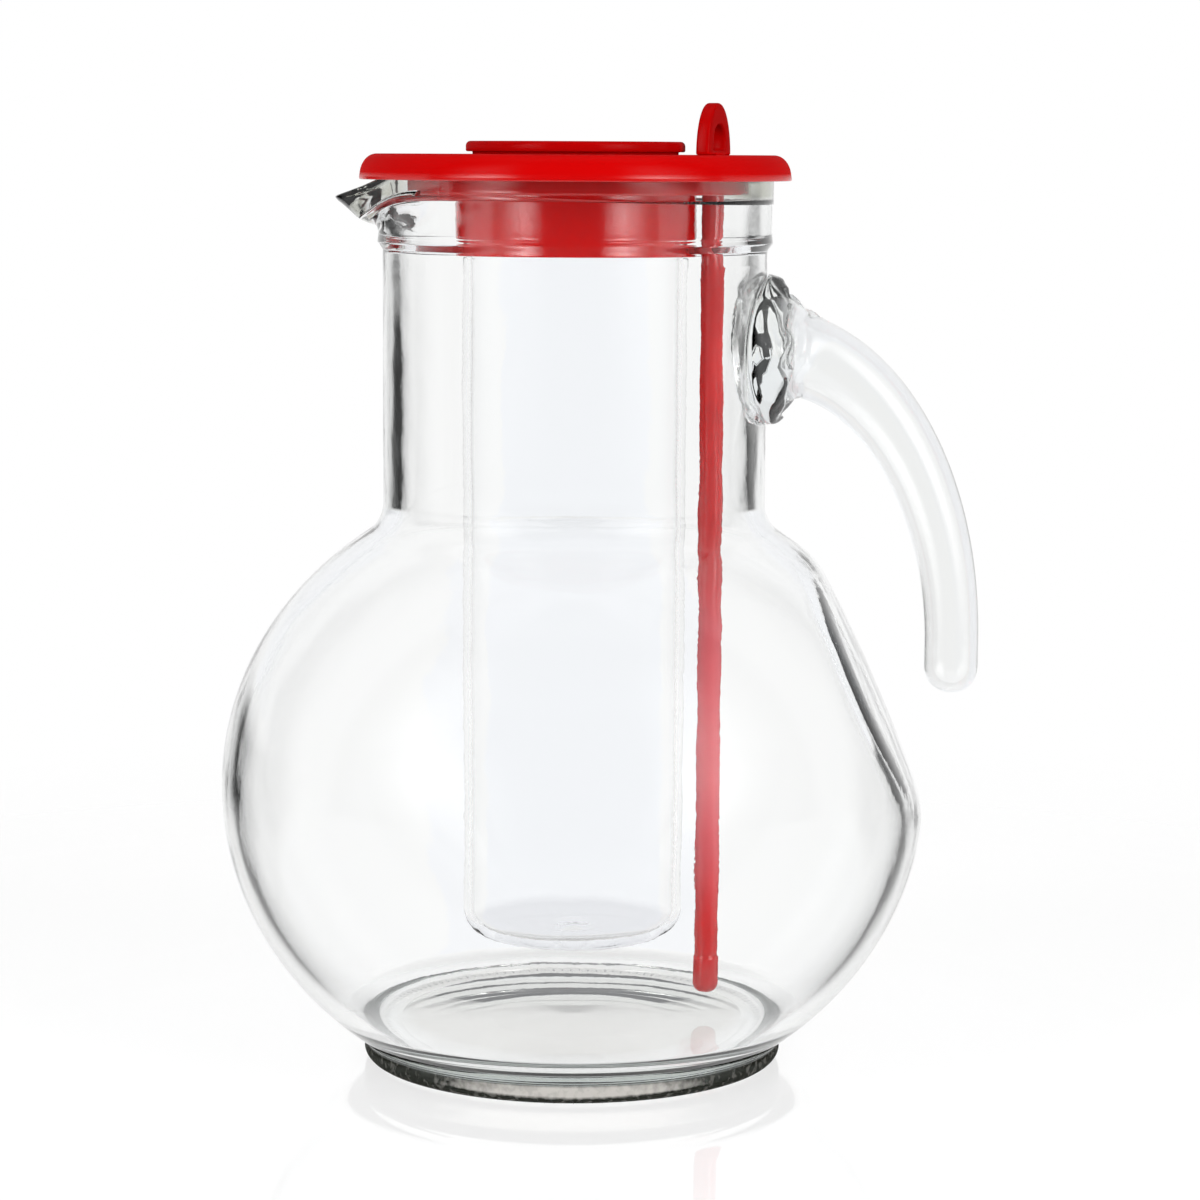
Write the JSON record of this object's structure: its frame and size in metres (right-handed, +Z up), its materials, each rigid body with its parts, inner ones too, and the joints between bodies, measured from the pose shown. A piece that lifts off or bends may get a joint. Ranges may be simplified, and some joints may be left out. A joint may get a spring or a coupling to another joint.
{
  "type": "pitcher with ice core",
  "caption": "Clear glass pitcher with a pulled spout and an open handle, a red plastic lid carrying a capped clear ice tube, and a red stirring rod through the lid.",
  "frame": {"origin": "on the neck's axis, in the plane of the foot ring that the pitcher stands on", "axes": "+Z up along the neck's axis, +X towards the handle, -X towards the spout"},
  "size_m": [0.1845, 0.172, 0.2338],
  "materials": {
    "clear_glass": "polished",
    "clear_plastic": "clear gloss",
    "red_plastic": "gloss"
  },
  "bodies": {
    "jug": {"glass_body": "clear_glass", "glass_handle": "clear_glass"},
    "lid": {"lid": "red_plastic"},
    "ice_tube": {"ice_tube": "clear_plastic"},
    "core_cap": {"core_cap": "red_plastic"},
    "stirrer": {"stirrer": "red_plastic"}
  },
  "joints": [
    {"name": "lid_lift", "type": "slide", "parent": "jug", "child": "lid", "axis": [0, 0, 1], "range_m": [0, 0.225]},
    {"name": "cap_lift", "type": "slide", "parent": "lid", "child": "core_cap", "axis": [0, 0, 1], "range_m": [0, 0.03]},
    {"name": "tube_twist", "type": "hinge", "parent": "lid", "child": "ice_tube", "pos_m": [0, 0, 0.2], "axis": [0, 0, 1], "range_deg": [0, 40]},
    {"name": "stirrer_lift", "type": "slide", "parent": "lid", "child": "stirrer", "axis": [0, 0, 1], "range_m": [0, 0.21]}
  ]
}
